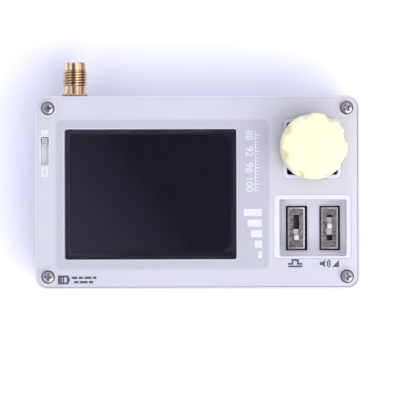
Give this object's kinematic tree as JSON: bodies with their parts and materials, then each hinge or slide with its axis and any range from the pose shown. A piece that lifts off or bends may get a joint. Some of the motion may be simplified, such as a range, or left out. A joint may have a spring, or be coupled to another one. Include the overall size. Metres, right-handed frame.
{
  "type": "pocket radio receiver",
  "caption": "Pocket radio spectrum receiver: white case, frosted panel, display window, scalloped tuning knob, recessed sliders, power switch slot and an antenna socket.",
  "frame": {"origin": "centre of the rear cover's outer face", "axes": "+X to the right of the front face, +Y to the antenna edge, +Z out of the front face"},
  "size_m": [0.0848, 0.0599, 0.03],
  "materials": {
    "case_white": "satin white moulded plastic",
    "frosted_panel": "frosted acrylic with printed marks",
    "lens": "clear dark gloss lens",
    "display_black": "gloss black display glass",
    "screw_steel": "plain steel",
    "brass": "turned brass",
    "gold_plate": "gold-plated brass",
    "nickel_sheet": "pressed nickel-plated sheet",
    "board_black": "black solder mask",
    "black_plastic": "moulded black plastic",
    "white_plastic": "moulded white plastic",
    "knob_cream": "satin cream plastic",
    "battery_foil": "silver laminate",
    "foam": "dark foam",
    "cone_paper": "coated paper",
    "red_wire": "red insulation",
    "black_wire": "black insulation",
    "amber_film": "amber polyimide film",
    "ptfe": "white fluoropolymer"
  },
  "bodies": {
    "case": {"rear_cover": "case_white", "front_frame": "case_white", "front_panel": "frosted_panel", "main_pcb": "board_black", "mcu_module": "board_black", "mcu_shield": "nickel_sheet", "tuner_shield": "nickel_sheet", "audio_amplifier": "black_plastic", "battery_connector": "white_plastic", "display_window": "lens", "display_glass": "display_black", "display_backlight_tray": "nickel_sheet", "display_board": "board_black", "display_ribbon": "amber_film", "display_header": "black_plastic", "encoder_body": "nickel_sheet", "encoder_bushing": "nickel_sheet", "squelch_pot_can": "nickel_sheet", "squelch_pot_base": "black_plastic", "volume_pot_can": "nickel_sheet", "volume_pot_base": "black_plastic", "power_switch_body": "nickel_sheet", "antenna_jack_body": "gold_plate", "antenna_jack_dielectric": "ptfe", "antenna_jack_contact": "gold_plate", "usb_c_socket": "nickel_sheet", "headphone_socket": "black_plastic", "speaker_basket": "nickel_sheet", "speaker_cone": "cone_paper", "battery_pad": "foam", "battery": "battery_foil", "battery_lead_positive": "red_wire", "battery_lead_negative": "black_wire", "front_screw_1": "screw_steel", "threaded_insert_1": "brass", "front_screw_2": "screw_steel", "threaded_insert_2": "brass", "front_screw_3": "screw_steel", "threaded_insert_3": "brass", "front_screw_4": "screw_steel", "threaded_insert_4": "brass"},
    "encoder_plunger": {"encoder_plunger": "black_plastic"},
    "tuning_knob": {"encoder_shaft": "brass", "tuning_knob": "knob_cream"},
    "squelch_slider": {"squelch_slider": "white_plastic"},
    "volume_slider": {"volume_slider": "white_plastic"},
    "power_switch_lever": {"power_switch_lever": "white_plastic"}
  },
  "joints": [
    {"name": "tuning_push", "type": "slide", "parent": "case", "child": "encoder_plunger", "axis": [0, 0, -1], "range_m": [0, 0.0005], "stiffness_N_per_m": 600, "springref_m": -0.0006},
    {"name": "tuning_turn", "type": "hinge", "parent": "encoder_plunger", "child": "tuning_knob", "pos_m": [0.03, 0.0118, 0.025], "axis": [0, 0, 1], "continuous": true},
    {"name": "squelch_slide", "type": "slide", "parent": "case", "child": "squelch_slider", "axis": [0, 1, 0], "range_m": [0, 0.0053]},
    {"name": "volume_slide", "type": "slide", "parent": "case", "child": "volume_slider", "axis": [0, 1, 0], "range_m": [-0.003, 0.0022]},
    {"name": "power_slide", "type": "slide", "parent": "case", "child": "power_switch_lever", "axis": [0, 1, 0], "range_m": [-0.004, 0]}
  ]
}
